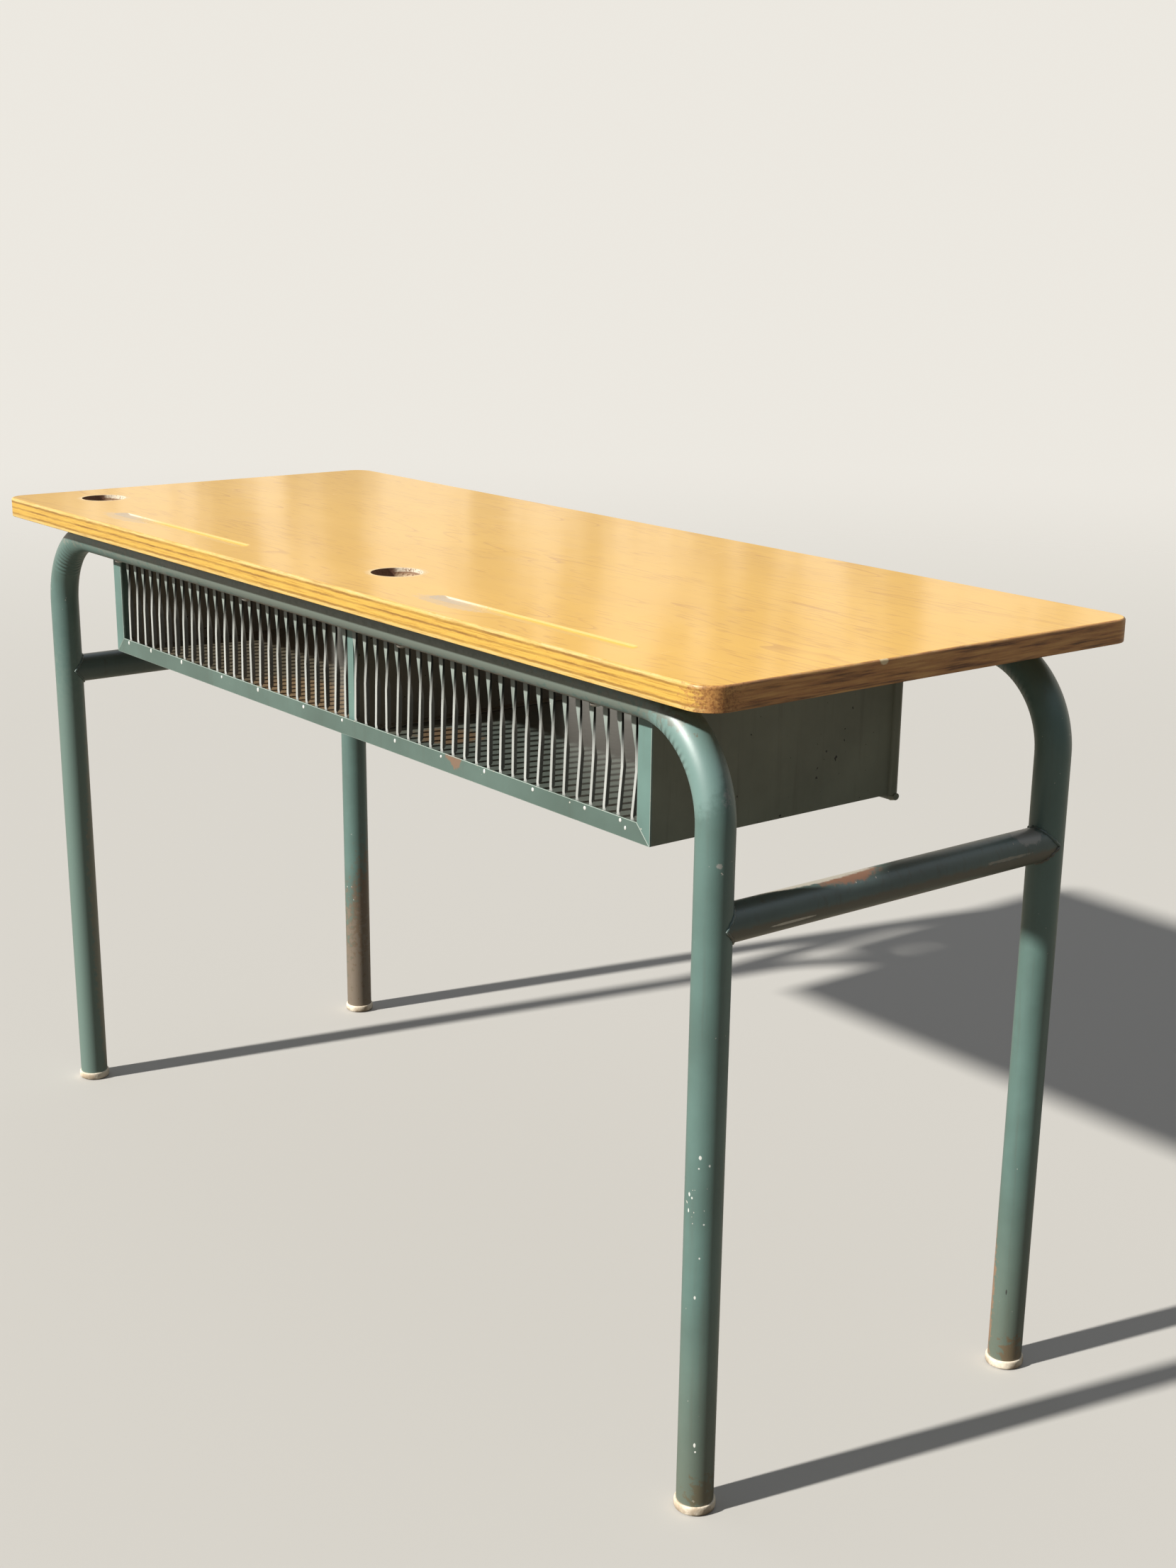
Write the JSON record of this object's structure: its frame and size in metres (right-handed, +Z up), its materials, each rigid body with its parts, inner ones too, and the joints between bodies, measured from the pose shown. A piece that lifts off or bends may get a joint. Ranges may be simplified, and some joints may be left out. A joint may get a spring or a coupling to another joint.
{
  "type": "double school desk",
  "caption": "Double school desk: varnished plywood top with inkwell holes and pencil grooves, bent steel tube frame and a barred sheet-metal book box under the top.",
  "frame": {"origin": "on the floor, below the middle of the top", "axes": "+X along the desk, to the right when seen from the grille side; -Y is the grille side, +Y the pupil side; +Z up"},
  "size_m": [1.3, 0.512, 0.76],
  "materials": {
    "top_plywood": "gloss varnished plywood, worn at the edges",
    "frame_paint": "gloss grey-green paint with chips",
    "stretcher_paint": "gloss grey-green paint with rust patches",
    "grille_paint": "gloss grey-green paint",
    "bar_paint": "gloss grey-green paint, worn pale on the edges",
    "box_paint": "gloss grey-green paint with rust specks",
    "foot_plastic": "matte cream plastic",
    "screw_steel": "dull plated steel"
  },
  "bodies": {
    "root": {"top_board": "top_plywood", "front_frame_tube": "frame_paint", "rear_frame_tube": "frame_paint", "left_stretcher": "stretcher_paint", "right_stretcher": "stretcher_paint", "foot_cap_front_left": "foot_plastic", "foot_cap_front_right": "foot_plastic", "foot_cap_rear_left": "foot_plastic", "foot_cap_rear_right": "foot_plastic", "grille_bottom_rail": "grille_paint", "grille_top_rail": "grille_paint", "grille_left_stile": "grille_paint", "grille_right_stile": "grille_paint", "grille_bars_left": "bar_paint", "grille_bars_right": "bar_paint", "box_floor": "box_paint", "box_left_wall": "box_paint", "box_right_wall": "box_paint", "box_divider": "box_paint", "front_rail_screws": "screw_steel", "rear_rail_screws": "screw_steel", "box_flange_screws": "screw_steel"}
  },
  "joints": []
}
